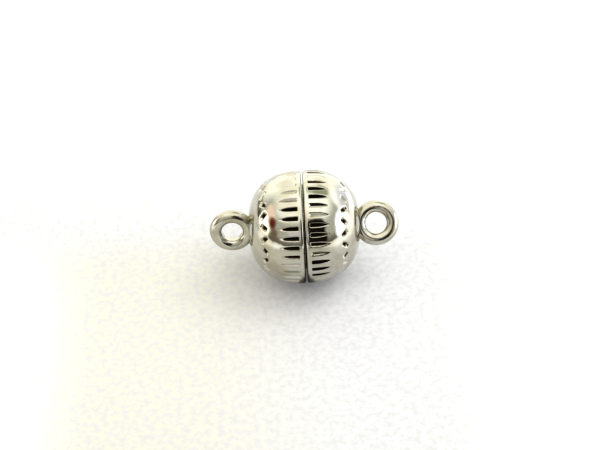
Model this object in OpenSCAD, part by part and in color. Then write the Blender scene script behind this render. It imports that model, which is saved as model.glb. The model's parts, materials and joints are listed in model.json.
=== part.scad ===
// Round magnetic clasp for jewellery: two engraved half balls that meet at
// a seam, a magnet in each, and a loop soldered to each end.
// The long axis is X, the seam lies at x = 0, and +Z is up.

/* [Ball] */
// Diameter of the closed ball round its belt
ball_d = 8; // [7.6:0.1:12]
// Length of the closed ball along the long axis
ball_len = 7.8; // [7.4:0.1:12]
// Radius of the shoulder that rounds the belt into each end
shoulder_r = 3.2; // [2.6:0.05:3.3]
// Gap between the two rims of the closed clasp
rim_gap = 0.1; // [0.06:0.01:0.2]
// Round-over on the outer edge of each rim
rim_edge_r = 0.16; // [0.05:0.01:0.2]

/* [Straight cuts] */
// Number of straight cuts round each half
line_count = 36; // [24:1:40]
// Plain rim left beside the seam
line_from = 0.36; // [0.25:0.01:0.5]
// Depth of a straight cut beside the rim
line_depth = 0.15; // [0.08:0.01:0.16]
// Lean of the bottom of a straight cut, inwards towards the end, in degrees
line_tilt = 3; // [0:0.5:5]
// Opening angle of the V of a straight cut
line_angle = 104; // [80:1:110]

/* [Slanted cuts] */
// Number of slanted cuts round each half, an even number
stroke_count = 24; // [16:2:28]
// Where the slanted cuts lie on the shoulder, in degrees from the belt
stroke_at = 41; // [32:1:50]
// Depth of a slanted cut
stroke_depth = 0.16; // [0.1:0.01:0.18]
// Opening angle of the V of a slanted cut
stroke_angle = 104; // [80:1:110]
// Length of a slanted cut on the surface
stroke_len = 0.72; // [0.6:0.02:0.9]
// Length of a slanted cut along its bottom, between its sloping ends
stroke_floor_len = 0.28; // [0.2:0.02:0.4]
// Slant of the cuts, alternately to one side and the other
stroke_slant = 36; // [15:1:45]
// Turn of the slanted cuts against the straight ones, in degrees
stroke_turn = 12; // [0:1:15]

/* [Loops] */
// Outer diameter of each loop
loop_d = 3.2; // [2.8:0.05:4]
// Thickness of the loop's wire
loop_wire_d = 0.9; // [0.6:0.02:1]
// How much a reamer widens the hole inside each loop
loop_ream = 0.1; // [0.06:0.02:0.3]
// Depth that each loop is set into the end of its half
loop_sink = 0.4; // [0.25:0.01:0.5]
// Turn of the left half about the long axis
left_turn = 8; // [0:1:90]
// Turn of the right half about the long axis
right_turn = 41; // [0:1:90]

/* [Magnets] */
// Diameter of each magnet
magnet_d = 6; // [4.5:0.1:6.2]
// Thickness of each magnet
magnet_t = 2; // [1.5:0.05:2.1]
// Chamfer round both faces of each magnet
magnet_chamfer = 0.12; // [0.05:0.01:0.2]
// How far the left magnet reaches past the seam into the right half
spigot_len = 0.3; // [0.2:0.01:0.5]
// Gap between the faces of the two magnets
face_gap = 0.04; // [0.02:0.01:0.1]
// Clearance round and behind each magnet in its pocket
pocket_gap = 0.04; // [0.02:0.01:0.08]

/* [Hidden] */
$fn = 96;

ball_r = ball_d / 2;
half_len = ball_len / 2;
rim_z = rim_gap / 2;
// Centre of the shoulder's arc, as a radius and a distance from the seam
shoulder_x = ball_r - shoulder_r;
shoulder_z = half_len - shoulder_r;
pocket_r = magnet_d / 2 + pocket_gap;
loop_ring_r = (loop_d - loop_wire_d) / 2;
loop_hole_d = loop_d - 2 * loop_wire_d + loop_ream;
loop_z = half_len - loop_sink + loop_d / 2;
// How far a cutter stands out past the surface that it cuts
cut_past = 0.3;
// Where a straight cut starts, how far its bottom passes from the centre of
// the shoulder's arc, and how long it is until it runs out on that arc
line_x = ball_r - line_depth;
line_z = rim_z + line_from;
line_out = (line_x - shoulder_x) * cos(line_tilt) + (line_z - shoulder_z) * sin(line_tilt);
line_len = (line_x - shoulder_x) * sin(line_tilt) + (shoulder_z - line_z) * cos(line_tilt)
    + sqrt(pow(shoulder_r, 2) - pow(line_out, 2));
// The point on the shoulder at the middle of the slanted cuts
stroke_x = shoulder_x + shoulder_r * cos(stroke_at);
stroke_z = shoulder_z + shoulder_r * sin(stroke_at);
// How much a slanted cut's ends run out for each unit of depth, and how
// deep they would meet
stroke_run = (stroke_len - stroke_floor_len) / 2 / stroke_depth;
stroke_meet = stroke_depth + stroke_floor_len / 2 / stroke_run;

// A quarter of a disc, between the X and Y axes
module quarter(r) {
    intersection() {
        circle(r);
        square(2 * r);
    }
}

// Half of the ball's section: X is the radius, Y the distance from the seam
module half_section() {
    translate([0, rim_z])
        square([ball_r - rim_edge_r, rim_edge_r]);
    translate([ball_r - rim_edge_r, rim_z + rim_edge_r])
        mirror([0, 1])
            quarter(rim_edge_r);
    translate([0, rim_z + rim_edge_r])
        square([ball_r, shoulder_z - rim_z - rim_edge_r]);
    translate([0, shoulder_z])
        square([shoulder_x, shoulder_r]);
    translate([shoulder_x, shoulder_z])
        quarter(shoulder_r);
}

// One half ball, turned, with its pocket open at the seam
module half_ball(pocket_z) {
    rotate_extrude()
        difference() {
            half_section();
            square([pocket_r, pocket_z]);
        }
}

// Section of a V cut: its bottom lies at X = 0, and it opens by the slope to
// each side until it is past the surface
module vee(depth, slope) {
    reach = depth + cut_past;
    polygon([
        [0, 0],
        [reach, reach * slope],
        [reach, -reach * slope]
    ]);
}

// Cutter of one straight cut, which runs along the belt and onto the shoulder
module line_cutter() {
    translate([line_x, 0, line_z])
        rotate([0, -line_tilt, 0])
            linear_extrude(height = line_len + cut_past)
                vee(line_depth, tan(line_angle / 2));
}

// Cutter of one slanted cut on the shoulder, with sloping ends
module stroke_cutter(slant) {
    translate([stroke_x, 0, stroke_z])
        rotate([0, -stroke_at, 0])
            rotate([slant, 0, 0])
                intersection() {
                    translate([-stroke_depth, 0])
                        linear_extrude(height = 2 * stroke_len, center = true)
                            vee(stroke_depth, tan(stroke_angle / 2));
                    translate([-stroke_meet, 0])
                        rotate([90, 0, 0])
                            linear_extrude(height = 2 * stroke_len, center = true)
                                vee(stroke_meet, stroke_run);
                }
}

// Both engraved bands of one half, with the slanted cuts turned by an angle
module cuts(turn) {
    for (i = [0 : line_count - 1])
        rotate([0, 0, i * 360 / line_count])
            line_cutter();
    for (i = [0 : stroke_count - 1])
        rotate([0, 0, turn + i * 360 / stroke_count])
            stroke_cutter(i % 2 == 0 ? stroke_slant : -stroke_slant);
}

// Ring of round wire, with its hole reamed through
module loop() {
    translate([0, 0, loop_z])
        rotate([90, 0, 0])
            difference() {
                rotate_extrude()
                    translate([loop_ring_r, 0])
                        circle(d = loop_wire_d);
                cylinder(d = loop_hole_d, h = loop_d, center = true);
            }
}

// Engraved half ball with its soldered loop, along +Z from the seam
module half(pocket_z, turn) {
    difference() {
        half_ball(pocket_z);
        cuts(turn);
    }
    loop();
}

// Disc magnet with both edges chamfered, between two distances from the seam
module magnet(from_z, to_z) {
    inner_r = magnet_d / 2 - magnet_chamfer;
    rotate_extrude()
        polygon([
            [0, from_z],
            [inner_r, from_z],
            [magnet_d / 2, from_z + magnet_chamfer],
            [magnet_d / 2, to_z - magnet_chamfer],
            [inner_r, to_z],
            [0, to_z]
        ]);
}

// Lays what stands along +Z from the seam along +X or -X, turned about X
module lay(side, turn) {
    rotate([-turn, 0, 0])
        rotate([0, side * 90, 0])
            children();
}

module left_half() {
    color("gainsboro")
        lay(-1, left_turn)
            half(magnet_t - spigot_len + pocket_gap, -stroke_turn);
}

module left_magnet() {
    color("silver")
        lay(-1, left_turn)
            magnet(-spigot_len, magnet_t - spigot_len);
}

module right_half() {
    color("gainsboro")
        lay(1, right_turn)
            half(spigot_len + face_gap + magnet_t + pocket_gap, stroke_turn);
}

module right_magnet() {
    color("silver")
        lay(1, right_turn)
            magnet(spigot_len + face_gap, spigot_len + face_gap + magnet_t);
}

left_half();
left_magnet();
right_half();
right_magnet();
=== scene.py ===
import json
import math

import bpy
import numpy as np
from mathutils import Matrix, Vector


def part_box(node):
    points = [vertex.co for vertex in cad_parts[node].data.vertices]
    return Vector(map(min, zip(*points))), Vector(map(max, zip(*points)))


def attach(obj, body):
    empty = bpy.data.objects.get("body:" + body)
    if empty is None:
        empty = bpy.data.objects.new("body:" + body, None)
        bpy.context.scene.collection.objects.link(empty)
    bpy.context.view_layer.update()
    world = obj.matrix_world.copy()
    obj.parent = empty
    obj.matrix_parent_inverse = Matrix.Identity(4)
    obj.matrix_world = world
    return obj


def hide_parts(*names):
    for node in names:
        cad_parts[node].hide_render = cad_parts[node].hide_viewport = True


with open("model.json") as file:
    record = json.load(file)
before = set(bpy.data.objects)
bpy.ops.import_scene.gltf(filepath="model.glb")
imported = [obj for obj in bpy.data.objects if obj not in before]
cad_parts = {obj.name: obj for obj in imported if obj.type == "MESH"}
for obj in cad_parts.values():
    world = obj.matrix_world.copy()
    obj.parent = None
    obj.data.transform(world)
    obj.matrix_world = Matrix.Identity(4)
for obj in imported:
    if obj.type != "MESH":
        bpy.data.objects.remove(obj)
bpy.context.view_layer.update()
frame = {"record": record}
mm = 0.001  # all lengths below are in millimetres until a mesh or a lamp is made
mounts = {mount["name"]: mount for mount in frame["record"]["mounts"]}
print("stage: packed clasp loaded")


# A node's output. Plain arithmetic on it adds Math nodes.
class Wire:
    def __init__(self, graph, socket):
        self.graph = graph
        self.socket = socket

    def math(self, operation, *values):
        return self.graph.node("ShaderNodeMath", {"operation": operation}, dict(enumerate(values)))

    def __add__(self, other):
        return self.math("ADD", self, other)

    def __radd__(self, other):
        return self.math("ADD", other, self)

    def __sub__(self, other):
        return self.math("SUBTRACT", self, other)

    def __rsub__(self, other):
        return self.math("SUBTRACT", other, self)

    def __mul__(self, other):
        return self.math("MULTIPLY", self, other)

    def __rmul__(self, other):
        return self.math("MULTIPLY", other, self)

    def __abs__(self):
        return self.math("ABSOLUTE", self)

    def between(self, low, high):  # 0 on low's side, 1 on high's side, smooth between them
        settings = {"interpolation_type": "SMOOTHSTEP"}
        values = {"Value": self, "From Min": low, "From Max": high}
        return self.graph.node("ShaderNodeMapRange", settings, values)


# The nodes of one material or of the world
class Graph:
    def __init__(self, owner):
        owner.use_nodes = True
        self.owner = owner
        self.tree = owner.node_tree
        self.tree.nodes.clear()

    def node(self, kind, settings=None, sockets=None, output=0):
        made = self.tree.nodes.new(kind)
        for name, value in (settings or {}).items():
            setattr(made, name, value)
        for name, value in (sockets or {}).items():
            if isinstance(value, Wire):
                self.tree.links.new(value.socket, made.inputs[name])
            else:
                made.inputs[name].default_value = value
        return Wire(self, made.outputs[output])

    def mix(self, factor, first, second):  # a Mix node's colours are its inputs 6 and 7, output 2
        colourSockets = {"Factor": factor, 6: first, 7: second}
        return self.node("ShaderNodeMix", {"data_type": "RGBA"}, colourSockets, output=2)

    def placeInMm(self, stretch=(1, 1, 1)):  # the piece's own coordinates
        place = self.node("ShaderNodeTexCoord", output="Object")
        scale = tuple(part / mm for part in stretch)
        return self.node("ShaderNodeVectorMath", {"operation": "MULTIPLY"}, {0: place, 1: scale})

    def noise(self, place, scale, detail, roughness):
        values = {"Vector": place, "Scale": scale, "Detail": detail, "Roughness": roughness}
        return self.node("ShaderNodeTexNoise", None, values)

    def bump(self, height, distance, strength, under=None):
        values = {"Height": height, "Distance": distance * mm, "Strength": strength}
        if under:
            values["Normal"] = under
        return self.node("ShaderNodeBump", None, values)

    def finishWith(self, shader, output="ShaderNodeOutputMaterial"):
        end = self.tree.nodes.new(output)
        self.tree.links.new(shader.socket, end.inputs["Surface"])
        return self.owner


# Camera, angles in degrees
cameraSizes = {
    "elevation": 40.0,
    "roll": 3.05,
    "distance": 118.0,
    "lens": 100.0,
    "ballRight": 0.29,  # how far right of the picture's middle the ball lies
    "ballDown": 0.11,
    "nearest": 1,
    "farthest": 5000,
}


def makeCamera(sizes):
    camera = bpy.data.objects.new("camera", bpy.data.cameras.new("camera"))
    bpy.context.scene.collection.objects.link(camera)
    camera.data.lens = sizes["lens"]
    camera.data.clip_start = sizes["nearest"] * mm
    camera.data.clip_end = sizes["farthest"] * mm
    elevation = math.radians(sizes["elevation"])
    back = Vector((0, -math.cos(elevation), math.sin(elevation)))
    turn = (-back).to_track_quat("-Z", "Y").to_matrix()
    turn = turn @ Matrix.Rotation(-math.radians(sizes["roll"]), 3, "Z")
    aside = turn @ Vector((-sizes["ballRight"], sizes["ballDown"], 0))
    camera.matrix_world = Matrix.Translation((back * sizes["distance"] + aside) * mm) @ turn.to_4x4()
    bpy.context.scene.camera = camera


makeCamera(cameraSizes)
print("stage: camera placed")


# Materials. A noise is its scale, detail and roughness, and a bump its depth and strength.
noiseMiddle = 0.5  # what a noise gives on average


def silverPlate():
    looks = {
        "bright": (0.57, 0.56, 0.495, 1),
        "warm": (0.48, 0.455, 0.37, 1),
        # painted shade and dark reflection: brown where it is thin, near-black where it is full
        "paintedBrownShade": (0.20, 0.15, 0.09, 1),
        "paintedDark": (0.016, 0.014, 0.012, 1),
        "cloud": (0.55, 3, 0.55),
        "fine": (5.0, 4, 0.6),
        "scratch": (1.0, 2, 0.5),
        "scratchStretch": (1.2, 22, 22),  # drawn out along the clasp
        "ripple": (2.2, 2, 0.5),
        "frayed": 0.2,  # how far the fine noise frays the edges of the painted dark
        "brownShadeFrom": (0.04, 0.2),
        "paintedDarkFrom": (0.12, 0.34),
        "warmFrom": (0.42, 0.66),
        "roughness": 0.08,
        "roughInCuts": 0.4,
        "scratchFrom": (0.6, 0.75),
        "scratchWear": 0.05,
        "cloudWear": 0.08,
        "satin": 0.1,  # how much rougher the wire of the loops is
        "satinFrom": (3.85, 4.0),  # distance from the seam
        "rippleBump": (0.012, 0.5),
        "pitBump": (0.002, 0.5),
    }
    graph = Graph(bpy.data.materials.new("silverPlate"))
    place = graph.placeInMm()
    cloud = graph.noise(place, *looks["cloud"])
    fine = graph.noise(place, *looks["fine"])
    # the painted shade and dark reflection each point carries, in the cuts, the seam and low beside
    # it
    paintedDark = graph.node("ShaderNodeAttribute", {"attribute_name": "paintedDark"}, output="Fac")
    patchy = paintedDark + (fine - noiseMiddle) * looks["frayed"]
    brownShaded = patchy.between(*looks["brownShadeFrom"])
    paintedDarkMask = patchy.between(*looks["paintedDarkFrom"])
    plate = graph.mix(cloud.between(*looks["warmFrom"]), looks["bright"], looks["warm"])
    colour = graph.mix(brownShaded, plate, looks["paintedBrownShade"])
    colour = graph.mix(paintedDarkMask, colour, looks["paintedDark"])
    scratches = graph.noise(graph.placeInMm(looks["scratchStretch"]), *looks["scratch"])
    wear = scratches.between(*looks["scratchFrom"]) * looks["scratchWear"]
    wear = wear + (cloud - noiseMiddle) * looks["cloudWear"]
    roughness = looks["roughness"] + wear + paintedDarkMask * (looks["roughInCuts"] - looks["roughness"])
    endward = abs(graph.node("ShaderNodeSeparateXYZ", None, {0: place}, "X"))
    roughness = roughness + endward.between(*looks["satinFrom"]) * looks["satin"]
    ripples = graph.bump(graph.noise(place, *looks["ripple"]), *looks["rippleBump"])
    pits = graph.bump(fine, *looks["pitBump"], ripples)
    shader = graph.node(
        "ShaderNodeBsdfPrincipled",
        None,
        {"Base Color": colour, "Metallic": 1.0, "Roughness": roughness, "Normal": pits},
    )
    return graph.finishWith(shader)


def magnetPlate():
    looks = {
        "nickel": (0.70, 0.68, 0.64, 1),
        "dull": (0.52, 0.50, 0.47, 1),
        "cloud": (0.9, 4, 0.6),
        "grain": (14.0, 3, 0.6),
        "rings": (1.0, 2, 0.5),
        "ringStretch": (30, 2, 2),  # pressed together along the disc's axis
        "dullFrom": (0.45, 0.7),
        "roughness": 0.2,
        "cloudWear": 0.2,
        "ringsFrom": (0.55, 0.75),
        "ringWear": 0.1,
        "grainBump": (0.004, 0.6),
    }
    graph = Graph(bpy.data.materials.new("magnetPlate"))
    place = graph.placeInMm()
    cloud = graph.noise(place, *looks["cloud"])
    grain = graph.noise(place, *looks["grain"])
    rings = graph.noise(graph.placeInMm(looks["ringStretch"]), *looks["rings"])
    colour = graph.mix(cloud.between(*looks["dullFrom"]), looks["nickel"], looks["dull"])
    roughness = looks["roughness"] + (cloud - noiseMiddle) * looks["cloudWear"]
    roughness = roughness + rings.between(*looks["ringsFrom"]) * looks["ringWear"]
    skin = graph.bump(grain, *looks["grainBump"])
    shader = graph.node(
        "ShaderNodeBsdfPrincipled",
        None,
        {"Base Color": colour, "Metallic": 1.0, "Roughness": roughness, "Normal": skin},
    )
    return graph.finishWith(shader)


# Where two places stand for a change, it begins at the first and is complete at the second
def paperFloor():
    looks = {
        "paper": (0.43, 0.43, 0.445, 1),
        "paintedWarmShade": (0.43, 0.42, 0.36, 1),  # painted warm shade, a little darker: left of the clasp and in front, where the shadow falls
        "fleck": (0.37, 0.37, 0.372, 1),
        # painted shade: the floor far towards the camera is darker, so the silver shows it darker
        "far": (0.15, 0.15, 0.13, 1),
        "paintedGlow": (0.13, 0.13, 0.13, 1),  # painted light: the floor glows though it is no lamp, lifting its shadows
        # painted light: brighter glow to the right, on the left in front, and behind
        "paintedBrightGlow": (0.75, 0.75, 0.78, 1),
        "grain": (2.2, 3, 0.6),
        "fleckFrom": (0.38, 0.68),
        "grainBump": (0.05, 0.4),
        "roughness": 0.75,
        "warmShadeLeft": (3.0, -9.0),
        "warmShadeFront": (7.0, 0.0),
        "fade": (-5.0, -85.0),  # where it turns to the painted far shade, towards the camera
        "glowRight": (8.0, 26.0),  # where it turns to the painted bright glow, to the right
        "glowLeft": (-14.0, -32.0),
        "glowFront": (7.0, -3.0),  # the left one shows only in front of the clasp
        "glowBack": (0.0, 30.0),
        "backShare": 0.26,  # how much of the painted bright glow shows behind the clasp
    }
    graph = Graph(bpy.data.materials.new("paperFloor"))
    place = graph.placeInMm()
    grain = graph.noise(place, *looks["grain"])
    right, back = (graph.node("ShaderNodeSeparateXYZ", None, {0: place}, axis) for axis in "XY")
    # painted warm shade where the shadow falls, left of the clasp and in front
    warmShadeMask = right.between(*looks["warmShadeLeft"]) * back.between(*looks["warmShadeFront"])
    paper = graph.mix(warmShadeMask, looks["paper"], looks["paintedWarmShade"])
    colour = graph.mix(grain.between(*looks["fleckFrom"]), paper, looks["fleck"])
    # painted shade towards the camera
    colour = graph.mix(back.between(*looks["fade"]), colour, looks["far"])
    # painted light on the floor: where it glows brighter
    left = right.between(*looks["glowLeft"]) * back.between(*looks["glowFront"])
    behind = back.between(*looks["glowBack"]) * looks["backShare"]
    sides = right.between(*looks["glowRight"]) + left + behind
    paintedGlow = graph.mix(sides, looks["paintedGlow"], looks["paintedBrightGlow"])
    skin = graph.bump(grain, *looks["grainBump"])
    sockets = {"Base Color": colour, "Roughness": looks["roughness"], "Normal": skin}
    # painted light: the floor's own glow
    paintedLight = {"Emission Color": paintedGlow, "Emission Strength": 1.0}
    shader = graph.node("ShaderNodeBsdfPrincipled", None, sockets | paintedLight)
    return graph.finishWith(shader)


# Half balls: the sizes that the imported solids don't give by their boxes
halfSizes = {
    "ballLength": 7.8,
    "shoulder": 3.2,
    "rimEdge": 0.16,
    "crownTo": 5,  # polishing left the belt crowned, up to this slope in degrees
    "pocketGap": 0.04,
    "wire": 0.9,
    "edgeBreak": 0.025,  # small round on turned corners
    "columns": 720,
    "rows": {"pocket": 3, "corner": 4, "rim": 6, "belt": 15, "engraved": 62, "plain": 16, "end": 4},
    "engravedTo": 56,  # degrees up the shoulder
    "loopColumns": 160,  # round the loop
    "wireColumns": 48,  # round its wire
    "sharpFrom": 50,  # degrees between faces that make a sharp edge
}
# Angles in degrees
cutSizes = {
    "lineCount": 36,
    "lineFrom": 0.36,
    "lineDepth": 0.15,
    "lineTilt": 3,
    "lineAngle": 104,
    "lineEndSlope": 3.0,  # steepness of the blunt end beside the rim
    "strokeCount": 24,
    "strokeAt": 41,
    "strokeDepth": 0.16,
    "strokeAngle": 104,
    "strokeLength": 0.72,
    "strokeFloor": 0.28,
    "strokeSlant": 36,
    "strokeTurn": 12,
    "softness": 0.012,  # how much polishing and plating round the cuts' edges
    "lineLean": 0.2,  # keeps a depth from running away where the surface lies along the cut
    "strokeLean": 0.3,
}
# Painted shade and dark reflection on each half: the number of patches round it, the place of one
# in degrees, the share of the round they take, how unevenly they end, how far from the seam
paintedDarkSpread = {
    "left_half": {
        "lines": {"patches": 3, "at": 34, "share": 0.445, "wander": 0.1, "reach": 1.5},
        "strokes": {"patches": 3, "at": 33, "share": 0.78, "wander": 0.2, "reach": 4},
        "seam": 0.36,
        "paintedLowShade": {"most": 0.34, "reach": 0.45},  # painted shade, low in the seam and beside it
        "seed": 3,
    },
    "right_half": {
        "lines": {"patches": 8, "at": 34, "share": 0.62, "wander": 0.12, "reach": 1.9},
        "strokes": {"patches": 3, "at": 37, "share": 0.5, "wander": 0.2, "reach": 4},
        "seam": 0.16,
        "paintedLowShade": {"most": 0.3, "reach": 0.5},
        "seed": 5,
    },
}
# How the painted dark fades, the same on both
paintedDarkFade = {
    "waves": 4,  # random waves that make the patches uneven
    "waveShift": 9,  # how far they may be turned, in radians
    "patchEdge": 1.6,  # how sharply a patch ends
    "reachEdge": 0.15,  # over what length it ends along a cut
    "middle": 0.5,  # how much is left where the edge is reckoned to be
    "strokeShare": 0.5,  # how strong it is in the slanted cuts
    "strokeCore": 2.4,  # it keeps to their middles
    "strokeTips": 0.8,
    "seamLimits": (0.2, 0.8),  # painted shade in the seam: least, at the top of the seam, and most, at its sides and below
    "lowShadeBelow": 0.1,  # painted shade low beside the seam: how far below the axis it begins, as a share of the radius
    "lowShadeOver": 0.5,  # and over what further share it comes to its full
    "lowShadeEdge": 1.5,  # how much farther than its reach it stays full
}


# Rows of a turned section: radius, distance from the seam, and the outward normal
def arcRows(centreR, centreZ, radius, start, stop, count):
    angles = np.radians(np.linspace(start, stop, count))
    across, along = np.cos(angles), np.sin(angles)
    return np.stack([centreR + radius * across, centreZ + radius * along, across, along], 1)


def straightRows(fromR, fromZ, toR, toZ, count, normal):
    share = np.linspace(0, 1, count)
    radii = fromR + (toR - fromR) * share
    places = fromZ + (toZ - fromZ) * share
    return np.stack([radii, places, np.full(count, normal[0]), np.full(count, normal[1])], 1)


def softAbs(values, softness):
    return np.sqrt(values**2 + softness**2)


def softMin(first, second, softness):
    return (first + second - softAbs(first - second, softness)) / 2


# How deep below the surface the straight cuts reach, measured along the normal
def lineDepths(ballR, rimZ, angle, radius, along, normalR, normalZ):
    sizes = cutSizes
    pitch = 2 * math.pi / sizes["lineCount"]
    offset = (angle + pitch / 2) % pitch - pitch / 2
    slope = math.tan(math.radians(sizes["lineAngle"] / 2))
    tilt = math.radians(sizes["lineTilt"])
    past = along - rimZ - sizes["lineFrom"]
    out = (radius * np.cos(offset) - ballR + sizes["lineDepth"]) * math.cos(tilt)
    fromMiddle = softAbs(radius * np.sin(offset), sizes["softness"])
    height = out + past * math.sin(tilt) - fromMiddle / slope
    lean = normalR * np.cos(offset) * math.cos(tilt) + normalZ * math.sin(tilt)
    lean = lean - normalR * np.abs(np.sin(offset)) / slope
    height = height / np.maximum(lean, sizes["lineLean"])
    return softMin(height, past * sizes["lineEndSlope"], sizes["softness"])


# The same for the slanted cuts on the shoulder, and how near their middles a point is
def strokeDepths(endR, halfLength, angle, radius, along, normalR, normalZ):
    sizes = cutSizes
    shoulder = halfSizes["shoulder"]
    pitch = 2 * math.pi / sizes["strokeCount"]
    index = np.round(angle / pitch)
    offset = angle - index * pitch
    slant = np.where(index % 2 == 0, 1, -1) * math.radians(sizes["strokeSlant"])
    at = math.radians(sizes["strokeAt"])
    middleR = endR + shoulder * math.cos(at)
    middleZ = halfLength - shoulder + shoulder * math.sin(at)
    cosOff, sinOff = np.cos(offset), np.sin(offset)

    def inStroke(out, side, rise):  # height, across and along, in the stroke's own frame
        high = out * math.cos(at) + rise * math.sin(at)
        low = -out * math.sin(at) + rise * math.cos(at)
        across = side * np.cos(slant) + low * np.sin(slant)
        return high, across, -side * np.sin(slant) + low * np.cos(slant)

    high, across, length = inStroke(radius * cosOff - middleR, radius * sinOff, along - middleZ)
    leanHigh, leanAcross, leanLength = inStroke(normalR * cosOff, normalR * sinOff, normalZ)
    slope = math.tan(math.radians(sizes["strokeAngle"] / 2))
    run = (sizes["strokeLength"] - sizes["strokeFloor"]) / 2 / sizes["strokeDepth"]
    meet = sizes["strokeDepth"] + sizes["strokeFloor"] / 2 / run
    leastLean = sizes["strokeLean"]
    sides = high + sizes["strokeDepth"] - softAbs(across, sizes["softness"]) / slope
    sides = sides / np.maximum(leanHigh - np.sign(across) * leanAcross / slope, leastLean)
    ends = high + meet - np.abs(length) / run
    ends = ends / np.maximum(leanHigh - np.sign(length) * leanLength / run, leastLean)
    nearMiddle = 1 - np.abs(length) * 2 / sizes["strokeLength"]
    return softMin(sides, ends, sizes["softness"]), nearMiddle


# Radius of the belt's crown, and of the flat end of the half ball
def crownShape(ballR):
    shoulder, slope = halfSizes["shoulder"], math.radians(halfSizes["crownTo"])
    crownR = shoulder + (halfSizes["ballLength"] / 2 - shoulder) / math.sin(slope)
    return crownR, ballR - crownR + (crownR - shoulder) * math.cos(slope)


# The whole section, from the middle of the pocket to the middle of the end
def halfRows(ballR, rimZ, pocketR, pocketZ):
    corner, rimEdge, shoulder = (halfSizes[name] for name in ("edgeBreak", "rimEdge", "shoulder"))
    counts, crownTo, engravedTo = (halfSizes[name] for name in ("rows", "crownTo", "engravedTo"))
    halfLength = halfSizes["ballLength"] / 2
    shoulderZ = halfLength - shoulder
    crownR, endR = crownShape(ballR)
    rimTo = math.asin((rimZ + rimEdge) / (crownR - rimEdge))
    rimR = ballR - crownR + (crownR - rimEdge) * math.cos(rimTo)
    rimTo = math.degrees(rimTo)
    inner = [
        straightRows(0, pocketZ, pocketR - corner, pocketZ, counts["pocket"], (0, -1)),
        straightRows(pocketR, pocketZ - corner, pocketR, rimZ + corner, counts["pocket"], (-1, 0)),
        arcRows(pocketR + corner, rimZ + corner, corner, 180, 270, counts["corner"])[1:],
    ]
    outer = [
        arcRows(rimR, rimZ + rimEdge, rimEdge, -90, rimTo, counts["rim"]),
        arcRows(ballR - crownR, 0, crownR, rimTo, crownTo, counts["belt"])[1:],
        arcRows(endR, shoulderZ, shoulder, crownTo, engravedTo, counts["engraved"])[1:],
        arcRows(endR, shoulderZ, shoulder, engravedTo, 90, counts["plain"])[1:-1],
    ]
    end = straightRows(endR, halfLength, 0, halfLength, counts["end"], (0, 1))
    onOutside = np.zeros((sum(len(rows) for rows in inner + outer) + len(end), 1))
    onOutside[sum(len(rows) for rows in inner) : -len(end)] = 1
    return np.concatenate(inner + outer + [end]), onOutside


# Closed mesh of rings of points; the first and last ring end in single points
def meshOfRings(name, rings, paintedDark=None):
    rows, columns = rings.shape[:2]
    middle = rings[1:-1].reshape(-1, 3)
    points = np.concatenate([rings[0, :1], middle, rings[-1, :1]])
    base = 1 + columns * np.arange(rows - 2)[:, None] + np.arange(columns)[None, :]
    after = np.roll(base, -1, 1)
    quads = np.stack([base[:-1], after[:-1], after[1:], base[1:]], -1).reshape(-1, 4)
    first = np.stack([np.zeros(columns, int), after[0], base[0]], -1)
    last = np.stack([np.full(columns, len(points) - 1), base[-1], after[-1]], -1)
    mesh = bpy.data.meshes.new(name)
    mesh.from_pydata((points * mm).tolist(), [], quads.tolist() + first.tolist() + last.tolist())
    # the amount of painted shade and dark reflection, kept on the points
    amounts = np.zeros(len(points), np.float32)
    if paintedDark is not None:
        amounts[1:-1] = paintedDark[1:-1].reshape(-1)
    mesh.attributes.new("paintedDark", "FLOAT", "POINT").data.foreach_set("value", amounts)
    mesh.shade_smooth()
    return mesh


def linkMesh(name, mesh, material):
    piece = bpy.data.objects.new(name, mesh)
    bpy.context.scene.collection.objects.link(piece)
    mesh.materials.append(material)
    return piece


# 1 where dark is painted into the cuts, as painted shade and dark reflection, and 0 where they stay
# bright
def paintedDarkPatches(spread, seed, around, along):
    count, shift, middle = (paintedDarkFade[name] for name in ("waves", "waveShift", "middle"))
    wander = np.random.default_rng(seed).uniform(-1, 1, count)
    waves = sum(
        wander[wave] * np.sin((wave + 1) * around + shift * wander[-1 - wave])
        for wave in range(count)
    )
    lobe = spread["patches"] * (around - math.radians(spread["at"])) + spread["wander"] * waves
    patchy = np.cos(lobe) - math.cos(math.pi * spread["share"])
    patchy = patchy * paintedDarkFade["patchEdge"] + middle
    reached = (spread["reach"] - along) / paintedDarkFade["reachEdge"] + middle
    return np.clip(patchy, 0, 1) * np.clip(reached, 0, 1)


# How much dark is painted at each point: painted shade and dark reflection in the cuts, painted shade
# in the seam and low beside it.
# around is 0 at the front of the clasp as it lies, and a quarter turn at its top.
def paintedDarkAmounts(lines, strokes, nearMiddle, around, along, rimZ, spread):
    fade = paintedDarkFade
    linesLeft = paintedDarkPatches(spread["lines"], spread["seed"], around, along)
    strokesLeft = paintedDarkPatches(spread["strokes"], spread["seed"], around, along)
    core = np.clip(nearMiddle * fade["strokeCore"] - fade["strokeTips"], 0, 1)
    strokesLeft = strokesLeft * core
    amount = np.maximum(lines * linesLeft, strokes * strokesLeft * fade["strokeShare"])
    amount = amount / cutSizes["lineDepth"]
    intoSeam = np.clip((rimZ + halfSizes["rimEdge"] - along) / halfSizes["rimEdge"], 0, 1)
    lower = np.clip(1 - np.sin(around), *fade["seamLimits"])
    amount = np.maximum(amount, spread["seam"] * intoSeam * lower)
    # painted shade low beside the seam, below the axis as the clasp lies
    paintedLowShade = spread["paintedLowShade"]
    low = np.clip(-fade["lowShadeBelow"] - np.sin(around), 0, fade["lowShadeOver"]) / fade["lowShadeOver"]
    lowShadeAmount = np.clip(low * fade["lowShadeEdge"] - (along - rimZ) / paintedLowShade["reach"], 0, 1)
    return np.maximum(amount, lowShadeAmount * paintedLowShade["most"])


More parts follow.
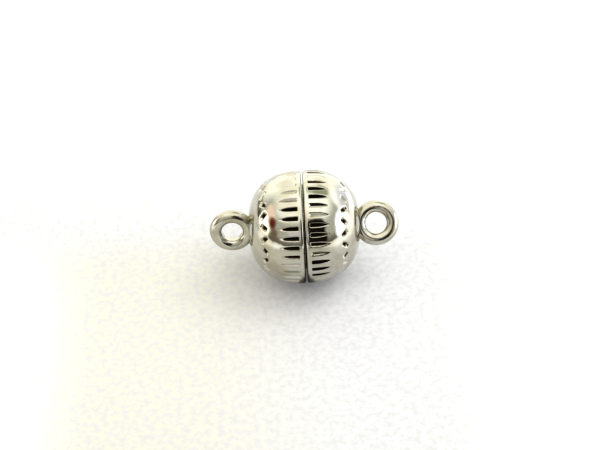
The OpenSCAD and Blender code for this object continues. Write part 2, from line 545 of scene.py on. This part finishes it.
def turnedHalf(name, ballR, rimZ, pocketR, pocketZ, side, turn, spread):
    rows, onOutside = halfRows(ballR, rimZ, pocketR, pocketZ)
    angle = np.linspace(0, 2 * math.pi, halfSizes["columns"], endpoint=False)[None, :]
    radius, along, normalR, normalZ = (rows[:, column][:, None] for column in range(4))
    lines = lineDepths(ballR, rimZ, angle, radius, along, normalR, normalZ)
    strokeAngle = angle - side * math.radians(cutSizes["strokeTurn"])
    halfLength, endR = halfSizes["ballLength"] / 2, crownShape(ballR)[1]
    strokes, nearMiddle = strokeDepths(
        endR, halfLength, strokeAngle, radius, along, normalR, normalZ
    )
    depth = np.maximum(np.maximum(lines, strokes), 0) * onOutside
    ringR = radius - depth * normalR
    rings = np.stack(
        [ringR * np.cos(angle), ringR * np.sin(angle), along - depth * normalZ + 0 * angle], -1
    )
    # how high and how far forward each point lies as the clasp rests, which places the painted shade
    # and dark reflection
    height = -rings[..., 0] * side * math.cos(turn) - rings[..., 1] * math.sin(turn)
    front = -rings[..., 1] * math.cos(turn) + rings[..., 0] * side * math.sin(turn)
    around = np.arctan2(height, front)
    amount = paintedDarkAmounts(lines, strokes, nearMiddle, around, along, rimZ, spread)
    return meshOfRings(name, rings, amount * onOutside)


# Ring of round wire, standing across local Y, with its hole reamed to size
def wireLoop(name, centreZ, outerR, holeR):
    wireR = halfSizes["wire"] / 2
    around = np.linspace(0, 2 * math.pi, halfSizes["loopColumns"], endpoint=False)[:, None]
    through = np.linspace(0, 2 * math.pi, halfSizes["wireColumns"], endpoint=False)[None, :]
    reach = np.maximum(outerR - wireR + wireR * np.cos(through), holeR)
    rings = np.stack(
        [
            reach * np.cos(around),
            wireR * np.sin(through) + 0 * around,
            centreZ + reach * np.sin(around),
        ],
        -1,
    )
    rows, columns = rings.shape[:2]
    base = columns * np.arange(rows)[:, None] + np.arange(columns)[None, :]
    right, down = np.roll(base, -1, 1), np.roll(base, -1, 0)
    corner = np.roll(right, -1, 0)
    quads = np.stack([base, right, corner, down], -1).reshape(-1, 4)
    mesh = bpy.data.meshes.new(name)
    mesh.from_pydata((rings.reshape(-1, 3) * mm).tolist(), [], quads.tolist())
    # the loops carry no painted shade or dark reflection
    mesh.attributes.new("paintedDark", "FLOAT", "POINT")
    mesh.shade_smooth()
    return mesh


# Solders the loop on: one closed mesh of both
def solder(body, loop):
    union = body.modifiers.new("solder", "BOOLEAN")
    union.operation = "UNION"
    union.solver = "MANIFOLD"
    union.object = loop
    evaluated = body.evaluated_get(bpy.context.evaluated_depsgraph_get())
    joined = bpy.data.meshes.new_from_object(evaluated)
    joined.set_sharp_from_angle(angle=math.radians(halfSizes["sharpFrom"]))
    body.modifiers.clear()
    body.data = joined
    bpy.data.objects.remove(loop)


def layAlongX(mesh, side, turn):
    across = Matrix.Rotation(math.radians(side * 90), 4, "Y")
    mesh.transform(Matrix.Rotation(-turn, 4, "X") @ across)


# side is -1 for the left half and 1 for the right one
def makeHalf(name, node, magnetNode, mountName, side, material):
    low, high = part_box(node)
    rimZ = min(abs(low.x), abs(high.x)) / mm
    loopEnd = max(abs(low.x), abs(high.x)) / mm
    magnetLow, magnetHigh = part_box(magnetNode)
    gap = halfSizes["pocketGap"]
    pocketZ = max(magnetLow.x * side, magnetHigh.x * side) / mm + gap
    pocketR = magnetHigh.z / mm + gap
    mount = mounts[mountName]
    loopZ = abs(mount["pos_m"][0]) / mm
    turn = math.atan2(mount["axis"][2], -mount["axis"][1])
    shape = turnedHalf(
        name, high.z / mm, rimZ, pocketR, pocketZ, side, turn, paintedDarkSpread[node]
    )
    body = linkMesh(name, shape, material)
    loopMesh = wireLoop(name + "Loop", loopZ, loopEnd - loopZ, mount["dims"]["r_mm"])
    solder(body, linkMesh(name + "Loop", loopMesh, material))
    layAlongX(body.data, side, turn)
    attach(body, "left" if side < 0 else "right")
    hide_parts(node)
    body.data.calc_loop_triangles()
    print("stage:", name, "made,", len(body.data.loop_triangles), "triangles")


magnetSizes = {"chamfer": 0.12, "break": 0.03, "columns": 160}


def makeMagnet(name, node, body, material):
    low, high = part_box(node)
    startX, endX, radius = low.x / mm, high.x / mm, high.z / mm
    chamfer, edge = magnetSizes["chamfer"], magnetSizes["break"]
    rows = [
        (0, startX),
        (radius - chamfer - edge, startX),
        (radius - chamfer + edge / 2, startX + edge / 2),
        (radius - edge / 2, startX + chamfer - edge / 2),
        (radius, startX + chamfer + edge),
        (radius, endX - chamfer - edge),
        (radius - edge / 2, endX - chamfer + edge / 2),
        (radius - chamfer + edge / 2, endX - edge / 2),
        (radius - chamfer - edge, endX),
        (0, endX),
    ]
    section = np.array(rows)
    angle = np.linspace(0, 2 * math.pi, magnetSizes["columns"], endpoint=False)[None, :]
    across, along = section[:, :1], section[:, 1:]
    rings = np.stack([along + 0 * angle, across * np.cos(angle), across * np.sin(angle)], -1)
    disc = linkMesh(name, meshOfRings(name, rings), material)
    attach(disc, body)
    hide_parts(node)
    print("stage:", name, "made")


silver = silverPlate()
nickel = magnetPlate()
makeHalf("leftHalf", "left_half", "left_magnet", "left_loop", -1, silver)
makeHalf("rightHalf", "right_half", "right_magnet", "right_loop", 1, silver)
makeMagnet("leftMagnet", "left_magnet", "left_disc", nickel)
makeMagnet("rightMagnet", "right_magnet", "right", nickel)


def makeFloor():
    sizes = {"half": 900.0, "ballBottom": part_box("left_half")[0].z}
    edge = sizes["half"] * mm
    mesh = bpy.data.meshes.new("floor")
    corners = [(-edge, -edge, 0), (edge, -edge, 0), (edge, edge, 0), (-edge, edge, 0)]
    mesh.from_pydata(corners, [], [(0, 1, 2, 3)])
    floor = linkMesh("floor", mesh, paperFloor())
    floor.location.z = sizes["ballBottom"]


# Direction in degrees: azimuth 0 is the camera's side and 90 the right loop's
def towards(azimuth, elevation):
    around, up = math.radians(azimuth), math.radians(elevation)
    return Vector((math.sin(around) * math.cos(up), -math.cos(around) * math.cos(up), math.sin(up)))


# The world's soft spots show in the silver, the lamps themselves don't
lampSizes = {
    "overhead": {
        "at": (112, 55),
        "distance": 220,
        "size": (150, 120),
        "power": 0.2,
        "colour": (1, 0.99, 0.96),
    },
    "fill": {
        "at": (40, 48),
        "distance": 220,
        "size": (90, 90),
        "power": 0.07,
        "colour": (1, 1, 1),
    },
}


def makeLamp(name):
    sizes = lampSizes[name]
    lamp = bpy.data.objects.new(name, bpy.data.lights.new(name, "AREA"))
    bpy.context.scene.collection.objects.link(lamp)
    lamp.data.shape = "RECTANGLE"
    lamp.data.size, lamp.data.size_y = (side * mm for side in sizes["size"])
    lamp.data.energy = sizes["power"]
    lamp.data.color = sizes["colour"]
    toward = towards(*sizes["at"])
    lamp.location = toward * sizes["distance"] * mm
    lamp.visible_glossy = False
    lamp.rotation_mode = "QUATERNION"
    lamp.rotation_quaternion = toward.to_track_quat("Z", "Y")


def makeStudio():
    looks = {
        "low": (0.20, 0.20, 0.17, 1),
        "middle": (0.58, 0.58, 0.53, 1),
        "top": (1.3, 1.3, 1.24, 1),
        "back": (1.28, 1.28, 1.17, 1),
        "lamp": (1.5, 1.5, 1.45, 1),
        "window": (2.0, 2.1, 2.5, 1),
        "leftWindow": (2.0, 2.0, 1.9, 1),
        "wall": (0.84, 0.86, 0.98, 1),
        "olive": (0.46, 0.49, 0.39, 1),
        "corner": (0.30, 0.29, 0.22, 1),
        "dark": (0.022, 0.017, 0.015, 1),
        "rust": (0.20, 0.06, 0.035, 1),
        "pink": (1.1, 0.9, 0.78, 1),
        "brown": (0.30, 0.235, 0.20, 1),
        "lilac": (0.72, 0.67, 0.72, 1),
        "shade": (0.12, 0.11, 0.08, 1),
        "middleFrom": (0.02, 0.3),  # heights on a ball of radius 1
        "topFrom": (0.6, 0.92),
        "darkFrom": (-0.01, 0.06),  # the dark ends straight, on the left
    }
    # Azimuth, elevation, full within and gone beyond, in degrees; later ones lie over earlier ones
    spots = [
        ("back", (180, 20, 30, 62)),
        ("olive", (147, 57, 9, 19)),
        ("lamp", (120, 26, 8, 26)),
        ("wall", (118, 2, 14, 38)),
        ("window", (82, 6, 17, 30)),
        ("corner", (-125, 2, 5, 16)),
        ("shade", (-110, 4, 2, 9)),
        ("leftWindow", (-88, 10, 12, 24)),
        ("pink", (-98, 36, 1, 14)),
        ("pink", (-80, 33, 1, 16)),
        ("brown", (-55, 14, 1, 13)),
        ("brown", (-41, 3, 1, 11)),
        ("rust", (-69, 28, 3, 14)),
        ("lilac", (-7, 27, 2, 12)),
    ]
    darkSpots = [(15, 38, 12, 21), (15, 14, 12, 21)]
    world = bpy.data.worlds.new("studio")
    bpy.context.scene.world = world
    graph = Graph(world)
    direction = graph.node("ShaderNodeTexCoord", output="Generated")
    right, height = (graph.node("ShaderNodeSeparateXYZ", None, {0: direction}, axis) for axis in "XZ")

    def spot(azimuth, elevation, inner, outer):
        values = {0: direction, 1: towards(azimuth, elevation)}
        near = graph.node("ShaderNodeVectorMath", {"operation": "DOT_PRODUCT"}, values, "Value")
        return near.between(math.cos(math.radians(outer)), math.cos(math.radians(inner)))

    colour = graph.mix(height.between(*looks["middleFrom"]), looks["low"], looks["middle"])
    colour = graph.mix(height.between(*looks["topFrom"]), colour, looks["top"])
    for name, place in spots:
        colour = graph.mix(spot(*place), colour, looks[name])
    upper, lower = (spot(*place) for place in darkSpots)
    dark = (upper + lower) * right.between(*looks["darkFrom"])
    colour = graph.mix(dark, colour, looks["dark"])
    light = graph.node("ShaderNodeBackground", None, {"Color": colour, "Strength": 1.0})
    graph.finishWith(light, "ShaderNodeOutputWorld")
    bpy.context.scene.view_settings.view_transform = "Standard"
    bpy.context.scene.view_settings.look = "High Contrast"


makeFloor()
for lampName in lampSizes:
    makeLamp(lampName)
makeStudio()
print("stage: floor and light set")
